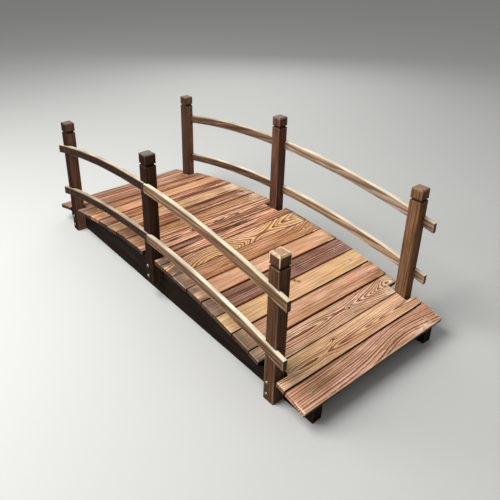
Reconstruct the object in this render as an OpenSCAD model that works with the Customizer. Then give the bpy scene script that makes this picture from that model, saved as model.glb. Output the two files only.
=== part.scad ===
// Moon bridge: a small timber garden bridge with an arched deck and arched double rails.
// Frame: +X runs along the bridge to its near end, +Y across to its right side, +Z up.
// The origin lies on the ground below the middle of the crown. All sizes are millimetres.

/* [Deck] */
// Spacing of the deck boards along the arch, board plus gap
board_pitch = 98; // [95:0.5:101]
// Thickness of a deck board
board_thick = 22; // [18:1:26]
// Length of a deck board, which is the width of the walkway boards
deck_width = 800; // [760:5:840]
// Radius of the arch that the top of the deck follows
deck_radius = 3570; // [3400:10:3900]
// Height of the top of the deck above the ground at its crown
crown_height = 222; // [210:1:240]
// Bevel along the worn upper edges of a board
board_bevel = 2.5; // [1:0.5:4]
// Bevel along the sawn lower edges of a board
saw_bevel = 1; // [0.5:0.5:2]
// Clear space between the inner face of a post and the notched boards
notch_gap = 3; // [1:0.5:8]
// How far the notches at the end posts sit from the middle of their boards, away from the crown
notch_shift = 6; // [0:0.5:8]

/* [Beams] */
// Thickness of a side beam
beam_thick = 45; // [35:1:60]
// How far the last boards reach beyond the ends of the beams
board_overhang = 8; // [2:1:30]

/* [Posts] */
// Side of the square post
post_size = 52; // [46:1:58]
// Distance between the centre lines of the left and right posts
post_spread = 748; // [740:2:756]
// How far an end post stands beyond the gap between the two boards notched for it
post_outset = 12; // [0:1:16]
// Height of the middle posts above the crown of the deck
middle_post_rise = 484; // [460:1:520]
// Height of the end posts above the crown of the deck
end_post_rise = 402; // [390:1:420]
// Height of the cube at the head of a post, above its groove
head_height = 44; // [36:1:52]
// Height of the saw kerf that sets the head off from the shaft
kerf_height = 5; // [3:0.5:8]
// Depth of that kerf, and width and height of the sloping shoulder below it
kerf_depth = 6; // [4:0.5:8]
// Bevel round the top of the head
head_bevel = 4; // [2:0.5:6]
// Bevel down the long edges of a post
post_arris = 2; // [0.5:0.5:4]

/* [Rails] */
// Thickness of a rail across the bridge
rail_thick = 20; // [18:1:26]
// Depth of a rail from its top to its underside
rail_depth = 42; // [36:1:50]
// How deep the near half of a rail is housed in the outer faces of the posts
housing_depth = 11; // [6:1:12]
// How much deeper the far half is housed
joint_step = 2; // [0:0.5:4]
// How far the joint of the two halves lies from the middle of its post, towards the near end
joint_shift = 12; // [0:1:16]
// Clear space between the two halves
joint_gap = 2; // [0.5:0.5:4]
// Half the length that a pair of rail segments spans along the bridge
rail_reach = 863; // [850:1:900]
// Height of the top of the handrail above the crown of the deck
hand_rail_rise = 359; // [340:1:380]
// Radius of the arch of the handrail
hand_rail_radius = 3980; // [3700:10:4300]
// Height of the top of the lower rail above the crown of the deck
lower_rail_rise = 118; // [100:1:140]
// Radius of the arch of the lower rail
lower_rail_radius = 3860; // [3600:10:4200]
// Bevel along the edges of a rail
rail_bevel = 2; // [1:0.5:4]

/* [Hidden] */
board_count = 20;
// Board spacings between a middle post and an end post.
post_step = 8;
// The gap on the far side of each board but the last, which varies with the fitting.
board_gaps = [5.5, 2.5, 5, 5.5, 2, 5.5, 2.5, 2, 3, 4, 2.5, 5, 3, 2, 4.5, 2.5, 5, 3, 4];
// How far each board is shifted sideways from the middle line, from the near end on.
board_shifts = [0.5, 0, -1, 1, 0, 1.5, 2, -1.5, 0, 1, -1, 0.5, 1.5, -1, 0, 2, -0.5, 1, -1.5, 0];
// Brown and orange tones of the boards, from the near end on.
board_tones = [
    "#B57A5E", "#CB9A62", "#C98F66", "#C08A5C", "#DDB679", "#8A5E50", "#D2A07C",
    "#D09A60", "#C08B4E", "#C59A63", "#A88072", "#C08C62", "#A8704F", "#D0A06E",
    "#8F5F47", "#D69A62", "#B8835A", "#A8704F", "#C08F68", "#A58066"];
post_tone = "#5A3B2B";
rail_tone = "#8A6A50";
beam_tone = "#463B31";

deck_centre = crown_height - deck_radius;
beam_radius = deck_radius - board_thick;
post_inner = post_spread / 2 - post_size / 2;
post_outer = post_spread / 2 + post_size / 2;
post_x = deck_radius * sin(arch_angle(post_step)) + post_outset;
deck_half = deck_radius * sin(arch_angle(board_count / 2));
beam_half = deck_half - board_overhang;
notch_line = post_inner - notch_gap;
middle_top = crown_height + middle_post_rise;
end_top = crown_height + end_post_rise;
post_length = end_top;
hand_rail_top = crown_height + hand_rail_rise;
lower_rail_top = crown_height + lower_rail_rise;
rail_outer = post_outer + rail_thick - housing_depth;
// How far a cutting shape reaches beyond what it cuts, as a length and as an angle.
over = 10;
over_angle = 1;
// Sides of the circles that stand for true curves.
smooth = 720;

// Angle at the centre of the deck's arch for a number of board spacings from the crown.
function arch_angle(steps) = steps * board_pitch / deck_radius * 180 / PI;

// Board spacings from the crown to the middle of a board.
function board_place(n) = (board_count + 1) / 2 - n;

// Half the gap on one side of a board: side 1 is its near edge and -1 its far edge.
function half_gap(n, side) =
    side > 0 ? (n == 1 ? 0 : board_gaps[n - 2] / 2)
             : (n == board_count ? 0 : board_gaps[n - 1] / 2);

// Which edge of a board is notched for a post: 1 near, -1 far, 0 none.
function notch_side(n) =
    let (k = board_place(n))
    abs(k) == 0.5 || abs(k) == post_step + 0.5 ? -sign(k)
    : abs(k) == post_step - 0.5 ? sign(k)
    : 0;

// Outline of a plank seen end on, with bevelled corners. Its top is at height zero.
function plank_outline(from, to, thick, bevel) = [
    [from, -thick + saw_bevel], [from + saw_bevel, -thick],
    [to - saw_bevel, -thick], [to, -thick + saw_bevel],
    [to, -bevel], [to - bevel, 0], [from + bevel, 0], [from, -bevel]];

// One side of a post's outline, from the foot up to the top of the head.
function post_side(bottom, top) =
    let (half = post_size / 2, neck = top - head_height)
    [[half, bottom],
     [half, neck - kerf_height - kerf_depth],
     [half - kerf_depth, neck - kerf_height],
     [half - kerf_depth, neck],
     [half, neck],
     [half, top - head_bevel],
     [half - head_bevel, top]];

function mirrored(points) = [for (i = [len(points) - 1:-1:0]) [-points[i][0], points[i][1]]];

// A post's outline extruded far enough to bound one pair of its faces.
module post_slab(bottom, top) {
    side = post_side(bottom, top);
    rotate([90, 0, 0])
        linear_extrude(height = post_size + 2 * over, center = true)
            polygon(concat(side, mirrored(side)));
}

// A square post whose groove and bevels run round all four sides.
module post_blank(bottom, top) {
    corner_span = sqrt(2) * (post_size - post_arris);
    intersection() {
        post_slab(bottom, top);
        rotate([0, 0, 90])
            post_slab(bottom, top);
        rotate([0, 0, 45])
            translate([-corner_span / 2, -corner_span / 2, bottom - over])
                cube([corner_span, corner_span, top - bottom + 2 * over]);
    }
}

// Section of a rail across the bridge: radius along the first axis, width along the second.
function rail_section(radius) = [
    [radius - rail_depth, rail_bevel],
    [radius - rail_depth + rail_bevel, 0],
    [radius - rail_bevel, 0],
    [radius, rail_bevel],
    [radius, rail_thick - rail_bevel],
    [radius - rail_bevel, rail_thick],
    [radius - rail_depth + rail_bevel, rail_thick],
    [radius - rail_depth, rail_thick - rail_bevel]];

// One half of a curved rail on the left side, cut to length with a given gap at the joint.
// Along is 1 for the near half and -1 for the far half, which sits a little deeper.
module rail_half(top, radius, along, gap) {
    sweep = asin(rail_reach / radius) + over_angle;
    outer = along > 0 ? rail_outer : rail_outer - joint_step;
    joint = joint_shift + along * gap / 2;
    low_x = along > 0 ? joint : -rail_reach;
    high_x = along > 0 ? rail_reach : joint;
    intersection() {
        translate([0, -outer + rail_thick, top - radius])
            rotate([90, 0, 0])
                rotate([0, 0, 90 - sweep])
                    rotate_extrude(angle = 2 * sweep, $fn = smooth)
                        polygon(rail_section(radius));
        translate([low_x, -outer - over, 0])
            cube([high_x - low_x, rail_thick + 2 * over, top + over]);
    }
}

module hand_rail(along) {
    color(rail_tone)
        rail_half(hand_rail_top, hand_rail_radius, along, joint_gap);
}

module lower_rail(along) {
    color(rail_tone)
        rail_half(lower_rail_top, lower_rail_radius, along, joint_gap);
}

// The housings of both rails in the outer face of a post, with no rib left at the joint.
module rail_housings(along) {
    rail_half(hand_rail_top, hand_rail_radius, along, 0);
    rail_half(lower_rail_top, lower_rail_radius, along, 0);
}

// An end post of the left side, which stands on the ground beside the beam.
module end_post(along) {
    color(post_tone)
        difference() {
            translate([along * post_x, -post_spread / 2, 0])
                post_blank(0, end_top);
            rail_housings(along);
        }
}

// A middle post of the left side, where the two halves of each rail meet.
module middle_post() {
    color(post_tone)
        difference() {
            translate([0, -post_spread / 2, 0])
                post_blank(middle_top - post_length, middle_top);
            rail_housings(1);
            rail_housings(-1);
        }
}

// A side beam of the left side: flat below, arched on top to carry the boards.
module beam() {
    color(beam_tone)
        intersection() {
            translate([0, -post_inner + beam_thick, deck_centre])
                rotate([90, 0, 0])
                    cylinder(r = beam_radius, h = beam_thick, $fn = smooth);
            translate([-beam_half, -post_inner - over, 0])
                cube([2 * beam_half, beam_thick + 2 * over, crown_height]);
        }
}

// Where a notch stops across its board: level with the middle, or a little towards the end.
function notch_stop(n) =
    let (k = board_place(n))
    abs(k) > 1 ? notch_shift * sign(k) : 0;

// A plank bounded by one outline across it and one along it, lying flat with its top at zero.
module plank(far_edge, near_edge, left_end, right_end) {
    intersection() {
        rotate([90, 0, 0])
            linear_extrude(height = 2 * deck_width, center = true)
                polygon(plank_outline(far_edge, near_edge, board_thick, board_bevel));
        rotate([90, 0, 90])
            linear_extrude(height = 2 * board_pitch, center = true)
                polygon(plank_outline(left_end, right_end, board_thick, board_bevel));
    }
}

// One deck board, counted from the near end, laid flat on the arch and notched at the posts.
module deck_board(n) {
    angle = arch_angle(board_place(n));
    shift = board_shifts[n - 1];
    side = notch_side(n);
    near_edge = board_pitch / 2 - half_gap(n, 1);
    far_edge = -board_pitch / 2 + half_gap(n, -1);
    color(board_tones[n - 1])
        translate([0, 0, deck_centre])
            rotate([0, angle, 0])
                translate([0, 0, deck_radius])
                    difference() {
                        plank(far_edge, near_edge, -deck_width / 2 + shift, deck_width / 2 + shift);
                        if (side != 0)
                            for (across = [-1, 1])
                                post_notch(side, across, notch_stop(n));
                    }
}

// The space cut from half the width of a board, out to its end.
module post_notch(side, across, stop) {
    low_x = side > 0 ? stop : stop - board_pitch;
    low_y = across > 0 ? notch_line : -deck_width;
    translate([low_x, low_y, -board_thick - over])
        cube([board_pitch, deck_width - notch_line, board_thick + 2 * over]);
}

// The right side is the mirror image of the left.
module right_side() {
    mirror([0, 1, 0])
        children();
}

board_names = [for (n = [1:board_count]) str("deck_board_", n < 10 ? "0" : "", n)];
frame_names = [
    "beam_left", "beam_right",
    "post_left_near", "post_left_middle", "post_left_far",
    "post_right_near", "post_right_middle", "post_right_far",
    "handrail_left_near", "handrail_left_far", "handrail_right_near", "handrail_right_far",
    "lower_rail_left_near", "lower_rail_left_far", "lower_rail_right_near", "lower_rail_right_far"];

for (n = [1:board_count])
    deck_board(n);
beam();  // beam_left
right_side() beam();  // beam_right
end_post(1);  // post_left_near
middle_post();  // post_left_middle
end_post(-1);  // post_left_far
right_side() end_post(1);  // post_right_near
right_side() middle_post();  // post_right_middle
right_side() end_post(-1);  // post_right_far
hand_rail(1);  // handrail_left_near
hand_rail(-1);  // handrail_left_far
right_side() hand_rail(1);  // handrail_right_near
right_side() hand_rail(-1);  // handrail_right_far
lower_rail(1);  // lower_rail_left_near
lower_rail(-1);  // lower_rail_left_far
right_side() lower_rail(1);  // lower_rail_right_near
right_side() lower_rail(-1);  // lower_rail_right_far
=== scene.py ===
# %% [markdown]
# # A moon bridge in torched softwood
# The real object is a small garden bridge. Two beams, flat below and arched on top, carry twenty
# short deck boards. Three posts a side are bolted to the beams, and two curved rails are housed
# in the outer faces of the posts. All of it is fir whose surface was torched and brushed, so the
# hard lines of the yearly rings stand proud and dark.
# The frame below is the finished construction model. Everything here is in metres and in its
# place: +X is the near end, +Y the right side, and the ground is at height zero.

# %% Load the frame
import math
from types import SimpleNamespace

import bmesh
import bpy
import numpy as np
from mathutils import Matrix, Vector, kdtree, noise


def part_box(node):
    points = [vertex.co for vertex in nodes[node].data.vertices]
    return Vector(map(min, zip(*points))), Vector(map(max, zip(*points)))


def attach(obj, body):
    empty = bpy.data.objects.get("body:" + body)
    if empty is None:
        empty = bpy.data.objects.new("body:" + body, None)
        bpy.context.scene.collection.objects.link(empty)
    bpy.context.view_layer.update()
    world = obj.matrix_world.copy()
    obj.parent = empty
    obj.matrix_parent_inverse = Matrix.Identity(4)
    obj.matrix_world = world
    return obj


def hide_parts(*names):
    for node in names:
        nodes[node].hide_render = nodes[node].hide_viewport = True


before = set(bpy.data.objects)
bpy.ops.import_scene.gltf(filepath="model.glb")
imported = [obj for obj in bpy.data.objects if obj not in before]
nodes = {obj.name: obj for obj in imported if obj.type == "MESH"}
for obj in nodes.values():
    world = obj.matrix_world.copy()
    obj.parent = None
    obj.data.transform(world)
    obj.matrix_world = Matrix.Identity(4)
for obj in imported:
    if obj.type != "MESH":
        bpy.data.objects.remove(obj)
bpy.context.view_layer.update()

# %% [markdown]
# ## Two small tools
# Colours are written the way a paint chart gives them, as sRGB hex values, while shaders
# calculate in linear light. One function turns the first into the second.
# Node trees could be built with dozens of lines for each node. One function that adds any node,
# with its settings and its links, keeps a tree short enough to read as a recipe.

# %% Colour and node tools
def linear(code):
    """A colour for a shader socket from an sRGB hex value."""
    parts = [int(code[i:i + 2], 16) / 255 for i in (1, 3, 5)]
    return tuple(c / 12.92 if c <= 0.04045 else ((c + 0.055) / 1.055) ** 2.4 for c in parts) + (1,)


def in_use(sockets, key):
    """The socket with that name or place among those that the node shows at its settings."""
    shown = [s for s in sockets if s.enabled]
    return shown[key] if isinstance(key, int) else next(s for s in shown if s.name == key)


def add(tree, kind, sockets=None, **settings):
    """Adds a node. Sockets maps an input to its value, or to the node or output that feeds it."""
    node = tree.nodes.new(kind)
    for name, value in settings.items():
        setattr(node, name, value)
    for key, value in (sockets or {}).items():
        if isinstance(value, bpy.types.Node):
            value = in_use(value.outputs, 0)
        if isinstance(value, bpy.types.NodeSocket):
            tree.links.new(value, in_use(node.inputs, key))
        else:
            in_use(node.inputs, key).default_value = value
    return node


print("half grey in linear light:", round(linear("#808080")[0], 3))

# %% [markdown]
# ## How a tree grows
# A board's pattern isn't painted on: it is a slice through the cone-shaped yearly rings of a
# trunk. Cut near the middle of the trunk it shows nested arches, and further out it shows lines.
# So the pattern is calculated in three dimensions, from the distance to the pith of the trunk,
# and faces, edges and ends of a board agree with one another.
# - Pith says where the middle of the trunk lies, across the board and below its face.
# - Taper says how quickly the rings are cut along the board: small gives long arches.
# - Lean says how far the pith moves across for each length along the board.
# - Wander lets the pith stray sideways, as no trunk grows straight.
# - A bend in the trunk brings the pith nearer or takes it away over a length of the board, so
#   the arches turn round: its place, how far it moves the rings, and its reach.
# - A knot is the foot of a branch: the rings rise over it, so lines run round it, and it has
#   dark wood of its own. A burl has none. With a negative radius the rings dip instead.
# - Late start says after which part of a year the hard dark wood begins.
# - Far lines says how strong the lines stay away from the pith, where they are steep and thin.
# The same recipe is needed twice: in materials for colour, and in Geometry Nodes to raise the
# hard lines of the mesh. A function builds it in either kind of tree, so both always agree.

# %% The grain recipe
MM = 0.001    # the scene is in metres, and wood is measured in millimetres
GRAIN_INPUTS = [
    ("Timber", "NodeSocketVector", (0, 0, 0)),    # along the grain, across it, out of the face
    ("Pith", "NodeSocketVector", (0, 0.01, -0.05)),
    ("Taper", "NodeSocketFloat", 0.05),
    ("Ring Width", "NodeSocketFloat", 0.007),
    ("Lean", "NodeSocketFloat", 0.0),
    ("Wander", "NodeSocketFloat", 0.008),
    ("Seed", "NodeSocketFloat", 0.0),
    ("Bend", "NodeSocketVector", (9, 0, 1)),      # place along, push on the rings, reach
    ("Knot", "NodeSocketVector", (9, 9, 0)),      # place along, place across, radius
    ("Burl", "NodeSocketVector", (9, 9, 0)),
    ("Second Burl", "NodeSocketVector", (9, 9, 0)),
    ("Late Start", "NodeSocketFloat", 0.15),
    ("Far Lines", "NodeSocketFloat", 1.0),
]
GRAIN_OUTPUTS = ["Latewood", "Knot Wood"]
BRANCH_STRETCH = 0.6    # a branch is cut at a slant, so its foot is longer along the board
BRANCH_RISE = 1.5       # rings rise this many radii over the foot of a branch
BRANCH_FADE = -0.28     # how quickly the rise fades with the square of the distance in radii
GOOD_YEARS = 0.37       # a spell of good or poor years lasts some three rings
YEAR_SPREAD = 2.2       # how many rings a spell moves the count by
RAGGED = 0.32           # how far fibres stray across a ring line, in rings
LATE_FULL, LATE_GOING = 0.88, 0.94    # where in a year dark wood is full, and where it stops
NEAR_PITH = (30 * MM, 14 * MM)        # lines are as strong as can be from the second one inwards
NEAR_BRANCH = (4.5, 2.5)              # and so they are round a branch, in its radii
BRANCH_RIM = (1.1, 0.8)               # where the wood of the branch itself begins and is full


def waves(along, across):
    """A noise's waves per metre, to a tenth, for streaks of this length and width in mm."""
    return round(1000 / along, 1), round(1000 / across, 1), round(1000 / across, 1)


PITH_WAVES = waves(417, 111)
RAGGED_WAVES = waves(45.5, 3.846)


def branch_nodes(tree, timber, spot):
    """Nodes for a branch foot: its push on the rings, and the distance to it in radii."""
    ends = add(tree, "ShaderNodeSeparateXYZ", {0: spot})
    away = add(tree, "ShaderNodeVectorMath", {0: timber, 1: spot}, operation="SUBTRACT")
    flat = add(tree, "ShaderNodeVectorMath", {0: away, 1: (BRANCH_STRETCH, 1, 0)}, operation="MULTIPLY")
    reach = add(tree, "ShaderNodeVectorMath", {0: flat}, operation="LENGTH")
    size = add(tree, "ShaderNodeMath", {0: ends.outputs[2]}, operation="ABSOLUTE")
    radius = add(tree, "ShaderNodeMath", {0: size, 1: 0.0001}, operation="MAXIMUM")
    radii = add(tree, "ShaderNodeMath", {0: in_use(reach.outputs, 0), 1: radius}, operation="DIVIDE")
    square = add(tree, "ShaderNodeMath", {0: radii, 1: radii}, operation="MULTIPLY")
    fall = add(tree, "ShaderNodeMath", {0: square, 1: BRANCH_FADE}, operation="MULTIPLY")
    hill = add(tree, "ShaderNodeMath", {0: fall}, operation="EXPONENT")
    push = add(tree, "ShaderNodeMath", {0: hill, 1: ends.outputs[2]}, operation="MULTIPLY")
    return push, radii


def bend_nodes(tree, along, bend):
    """Nodes for the push that a bend in the trunk gives the rings."""
    parts = add(tree, "ShaderNodeSeparateXYZ", {0: bend}).outputs
    away = add(tree, "ShaderNodeMath", {0: along, 1: parts[0]}, operation="SUBTRACT")
    share = add(tree, "ShaderNodeMath", {0: away, 1: parts[2]}, operation="DIVIDE")
    square = add(tree, "ShaderNodeMath", {0: share, 1: share}, operation="MULTIPLY")
    fall = add(tree, "ShaderNodeMath", {0: square, 1: -1.0}, operation="MULTIPLY")
    hill = add(tree, "ShaderNodeMath", {0: fall}, operation="EXPONENT")
    return add(tree, "ShaderNodeMath", {0: hill, 1: parts[1]}, operation="MULTIPLY")


def grain_group(kind):
    """The grain recipe as a node group, for materials or for Geometry Nodes."""
    tree = bpy.data.node_groups.new("grain_" + kind, kind)
    for name, socket, value in GRAIN_INPUTS:
        tree.interface.new_socket(name, in_out="INPUT", socket_type=socket).default_value = value
    for name in GRAIN_OUTPUTS:
        tree.interface.new_socket(name, in_out="OUTPUT", socket_type="NodeSocketFloat")
    given = add(tree, "NodeGroupInput").outputs
    timber, seed = given["Timber"], given["Seed"]

    # The pith strays: slow noise, stretched along the trunk, moves it.
    slow_place = add(tree, "ShaderNodeVectorMath", {0: timber, 1: PITH_WAVES},
                     operation="MULTIPLY")
    slow = add(tree, "ShaderNodeTexNoise",
               {"Vector": slow_place, "W": seed, "Scale": 1.0, "Detail": 2.0}, noise_dimensions="4D")
    centred = add(tree, "ShaderNodeVectorMath", {0: slow.outputs[1], 1: (0.5, 0.5, 0.5)},
                  operation="SUBTRACT")
    drift = add(tree, "ShaderNodeVectorMath", {0: centred, 1: given["Wander"]}, operation="SCALE")
    strayed = add(tree, "ShaderNodeVectorMath", {0: timber, 1: drift}, operation="ADD")
    along = add(tree, "ShaderNodeSeparateXYZ", {0: timber}).outputs[0]
    aside = add(tree, "ShaderNodeMath", {0: along, 1: given["Lean"]}, operation="MULTIPLY")
    leaning = add(tree, "ShaderNodeCombineXYZ", {"Y": aside})
    pith = add(tree, "ShaderNodeVectorMath", {0: given["Pith"], 1: leaning}, operation="ADD")
    from_pith = add(tree, "ShaderNodeVectorMath", {0: strayed, 1: pith}, operation="SUBTRACT")
    cross = add(tree, "ShaderNodeVectorMath", {0: from_pith, 1: (0, 1, 1)}, operation="MULTIPLY")
    radius = add(tree, "ShaderNodeVectorMath", {0: cross}, operation="LENGTH")

    # Cone-shaped rings, and the bend and branches that push them.
    cone = add(tree, "ShaderNodeMath", {0: along, 1: given["Taper"], 2: radius},
               operation="MULTIPLY_ADD")
    bent = bend_nodes(tree, along, given["Bend"])
    reach = add(tree, "ShaderNodeMath", {0: cone, 1: bent}, operation="ADD")
    branches = [branch_nodes(tree, timber, given[spot]) for spot in ("Knot", "Burl", "Second Burl")]
    for push, _ in branches:
        reach = add(tree, "ShaderNodeMath", {0: push, 1: -BRANCH_RISE, 2: reach},
                    operation="MULTIPLY_ADD")
    rings = add(tree, "ShaderNodeMath", {0: reach, 1: given["Ring Width"]}, operation="DIVIDE")

    # Good and poor years, and ragged fibres along each line.
    years = add(tree, "ShaderNodeTexNoise", {"W": rings, "Scale": GOOD_YEARS, "Detail": 1.0},
                noise_dimensions="1D")
    fibre_place = add(tree, "ShaderNodeVectorMath", {0: timber, 1: RAGGED_WAVES},
                      operation="MULTIPLY")
    ragged = add(tree, "ShaderNodeTexNoise", {"Vector": fibre_place, "Scale": 1.0, "Detail": 2.0})
    spread = add(tree, "ShaderNodeMath", {0: years, 1: YEAR_SPREAD, 2: rings},
                 operation="MULTIPLY_ADD")
    count = add(tree, "ShaderNodeMath", {0: ragged, 1: RAGGED, 2: spread}, operation="MULTIPLY_ADD")

    # A dark line late in each year: strong in some years, near the pith and round a branch.
    part = add(tree, "ShaderNodeMath", {0: count}, operation="FRACT")
    year = add(tree, "ShaderNodeMath", {0: count}, operation="FLOOR")
    luck = add(tree, "ShaderNodeTexWhiteNoise", {"W": year}, noise_dimensions="1D")
    strength = add(tree, "ShaderNodeMapRange",
                   {"Value": luck.outputs[0], "To Min": 0.5, "To Max": 1.0})
    strength = add(tree, "ShaderNodeMath", {0: strength, 1: given["Far Lines"]},
                   operation="MULTIPLY")
    near_pith = add(tree, "ShaderNodeMapRange",
                    {"Value": radius, "From Min": NEAR_PITH[0], "From Max": NEAR_PITH[1]})
    strength = add(tree, "ShaderNodeMath", {0: strength, 1: near_pith}, operation="MAXIMUM")
    rise = add(tree, "ShaderNodeMapRange",
               {"Value": part, "From Min": given["Late Start"], "From Max": LATE_FULL},
               interpolation_type="SMOOTHSTEP")
    drop = add(tree, "ShaderNodeMapRange", {"Value": part, "From Min": 1.0, "From Max": LATE_GOING},
               interpolation_type="SMOOTHSTEP")
    line = add(tree, "ShaderNodeMath", {0: rise, 1: drop}, operation="MULTIPLY")
    for _, radii in branches:
        figured = add(tree, "ShaderNodeMapRange",
                      {"Value": radii, "From Min": NEAR_BRANCH[0], "From Max": NEAR_BRANCH[1]})
        strength = add(tree, "ShaderNodeMath", {0: strength, 1: figured}, operation="MAXIMUM")
    line = add(tree, "ShaderNodeMath", {0: line, 1: strength}, operation="MULTIPLY")
    knot_radii = branches[0][1]
    core = add(tree, "ShaderNodeMapRange",
               {"Value": knot_radii, "From Min": BRANCH_RIM[0], "From Max": BRANCH_RIM[1]},
               interpolation_type="SMOOTHSTEP")
    add(tree, "NodeGroupOutput", {"Latewood": line, "Knot Wood": core})
    return tree


grain_for_shaders = grain_group("ShaderNodeTree")
grain_for_meshes = grain_group("GeometryNodeTree")
print("grain recipe:", len(grain_for_shaders.nodes), "nodes in each kind of tree")

# %% [markdown]
# ## The finish
# Torching chars the soft part of each ring, and a wire brush takes it off. What is left is a
# light body between dark hard lines, oiled to a satin sheen. Light falls softly on it, so the
# roughness is middling and the lines are a little glossier than the body.
# Where shoes, hands and rain wear the wood it goes pale, and where they don't reach it is dark.
# The group lays one thing over another in the order in which they came to the real wood: its
# body, dark and bleached streaks, fibres, ring lines, knots, dirt, soot, and worn wood last.
# Dirt and soot carry painted shade as well, and worn wood carries painted highlights.

# %% Torched and brushed wood
FINISH_INPUTS = [
    ("Timber", "NodeSocketVector"), ("Latewood", "NodeSocketFloat"), ("Knot Wood", "NodeSocketFloat"),
    ("Wear And Highlight", "NodeSocketFloat"), ("Light Wood", "NodeSocketColor"), ("Ring Lines", "NodeSocketColor"),
    ("Seed", "NodeSocketFloat"), ("Contrast", "NodeSocketFloat"), ("Grime And Shade", "NodeSocketFloat"),
    ("Banding", "NodeSocketFloat"), ("Streaks", "NodeSocketColor"), ("Worn And Lit Wood", "NodeSocketColor"),
    ("Soot And Shade", "NodeSocketFloat"),
]
KNOT_BROWN = "#5B3523"     # the hard wood of a branch
WORN_AND_LIT_PALE = "#F5D8B8"      # bare wood where the oil has gone, also the colour of painted highlights
GRIME_AND_SHADE_BROWN = "#26140D"    # dirt that rain carries into end grain and corners, and painted shade on sides and in corners
SOOT_AND_SHADE_RED = "#743A12"       # soot over red wood where the brush didn't reach, and painted shade in the joints
HUE_WAVES = waves(286, 62.5)
STREAK_WAVES = waves(294, 20)
FIBRE_WAVES = waves(143, 9.52)


def finish_group():
    """Colour, roughness and height of the torched surface as one shader group."""
    tree = bpy.data.node_groups.new("torched_finish", "ShaderNodeTree")
    for name, socket in FINISH_INPUTS:
        tree.interface.new_socket(name, in_out="INPUT", socket_type=socket)
    for name, socket in (("Color", "NodeSocketColor"), ("Roughness", "NodeSocketFloat"),
                         ("Height", "NodeSocketFloat")):
        tree.interface.new_socket(name, in_out="OUTPUT", socket_type=socket)
    given = add(tree, "NodeGroupInput").outputs

    # The body changes a little in hue, and it is smoked in patches.
    patch_place = add(tree, "ShaderNodeVectorMath", {0: given["Timber"], 1: HUE_WAVES},
                      operation="MULTIPLY")
    patches = add(tree, "ShaderNodeTexNoise",
                  {"Vector": patch_place, "W": given["Seed"], "Scale": 1.0, "Detail": 3.0},
                  noise_dimensions="4D")
    hue = add(tree, "ShaderNodeMapRange", {"Value": patches.outputs[1], "From Min": 0.3,
                                           "From Max": 0.7, "To Min": 0.487, "To Max": 0.513})
    tinted = add(tree, "ShaderNodeHueSaturation", {"Hue": hue, "Color": given["Light Wood"]})
    smoked = add(tree, "ShaderNodeHueSaturation",
                 {"Saturation": 1.15, "Value": 0.76, "Color": tinted})
    smoke = add(tree, "ShaderNodeMapRange", {"Value": patches, "From Min": 0.36, "From Max": 0.68})
    body = add(tree, "ShaderNodeMix", {"Factor": smoke, "A": tinted, "B": smoked}, data_type="RGBA")

    # One noise gives dark streaks where it is high and bleached streaks where it is low.
    band_place = add(tree, "ShaderNodeVectorMath", {0: given["Timber"], 1: STREAK_WAVES},
                     operation="MULTIPLY")
    bands = add(tree, "ShaderNodeTexNoise",
                {"Vector": band_place, "W": given["Seed"], "Scale": 1.0, "Detail": 4.0, "Roughness": 0.65},
                noise_dimensions="4D")
    darker = add(tree, "ShaderNodeMapRange",
                 {"Value": bands, "From Min": 0.5, "From Max": 0.62, "To Max": given["Banding"]})
    banded = add(tree, "ShaderNodeMix",
                 {"Factor": darker, "A": in_use(body.outputs, 0), "B": given["Streaks"]},
                 data_type="RGBA")
    paler = add(tree, "ShaderNodeHueSaturation",
                {"Saturation": 0.8, "Value": 1.35, "Color": in_use(banded.outputs, 0)})
    bleached = add(tree, "ShaderNodeMapRange",
                   {"Value": bands, "From Min": 0.49, "From Max": 0.4, "To Max": given["Banding"]})
    streaked = add(tree, "ShaderNodeMix",
                   {"Factor": bleached, "A": in_use(banded.outputs, 0), "B": paler}, data_type="RGBA")

    # Bundles of fibres, some 10 mm wide, take more oil or less.
    fibre_place = add(tree, "ShaderNodeVectorMath", {0: given["Timber"], 1: FIBRE_WAVES},
                      operation="MULTIPLY")
    fibres = add(tree, "ShaderNodeTexNoise",
                 {"Vector": fibre_place, "Scale": 1.0, "Detail": 5.0, "Roughness": 0.6})
    fibre_shade = add(tree, "ShaderNodeMapRange", {"Value": fibres, "From Min": 0.34,
                                                   "From Max": 0.66, "To Min": 0.7, "To Max": 1.28})
    fibred = add(tree, "ShaderNodeVectorMath", {0: in_use(streaked.outputs, 0), 1: fibre_shade},
                 operation="SCALE")

    # The ring lines, and what lies over them.
    lining = add(tree, "ShaderNodeMath", {0: given["Latewood"], 1: given["Contrast"]},
                 operation="MULTIPLY")
    lined = add(tree, "ShaderNodeMix", {"Factor": lining, "A": fibred, "B": given["Ring Lines"]},
                data_type="RGBA")
    knotted = add(tree, "ShaderNodeMix",
                  {"Factor": given["Knot Wood"], "A": in_use(lined.outputs, 0), "B": linear(KNOT_BROWN)},
                  data_type="RGBA")
    grimed_and_shaded = add(tree, "ShaderNodeMix",
                 {"Factor": given["Grime And Shade"], "A": in_use(knotted.outputs, 0), "B": linear(GRIME_AND_SHADE_BROWN)},
                 data_type="RGBA")
    sooted_and_shaded = add(tree, "ShaderNodeMix",
                {"Factor": given["Soot And Shade"], "A": in_use(grimed_and_shaded.outputs, 0), "B": linear(SOOT_AND_SHADE_RED)},
                data_type="RGBA")
    worn = add(tree, "ShaderNodeMix",
               {"Factor": given["Wear And Highlight"], "A": in_use(sooted_and_shaded.outputs, 0), "B": given["Worn And Lit Wood"]},
               data_type="RGBA")

    # Hard wood is glossier and stands higher, and fibres stand up a third as far.
    rough = add(tree, "ShaderNodeMapRange",
                {"Value": given["Latewood"], "To Min": 0.78, "To Max": 0.6})
    height = add(tree, "ShaderNodeMath", {0: fibres, 1: 0.35, 2: given["Latewood"]},
                 operation="MULTIPLY_ADD")
    add(tree, "NodeGroupOutput",
        {"Color": in_use(worn.outputs, 0), "Roughness": rough, "Height": height})
    return tree


torched_finish = finish_group()
print("finish:", len(torched_finish.nodes), "nodes")
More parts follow.
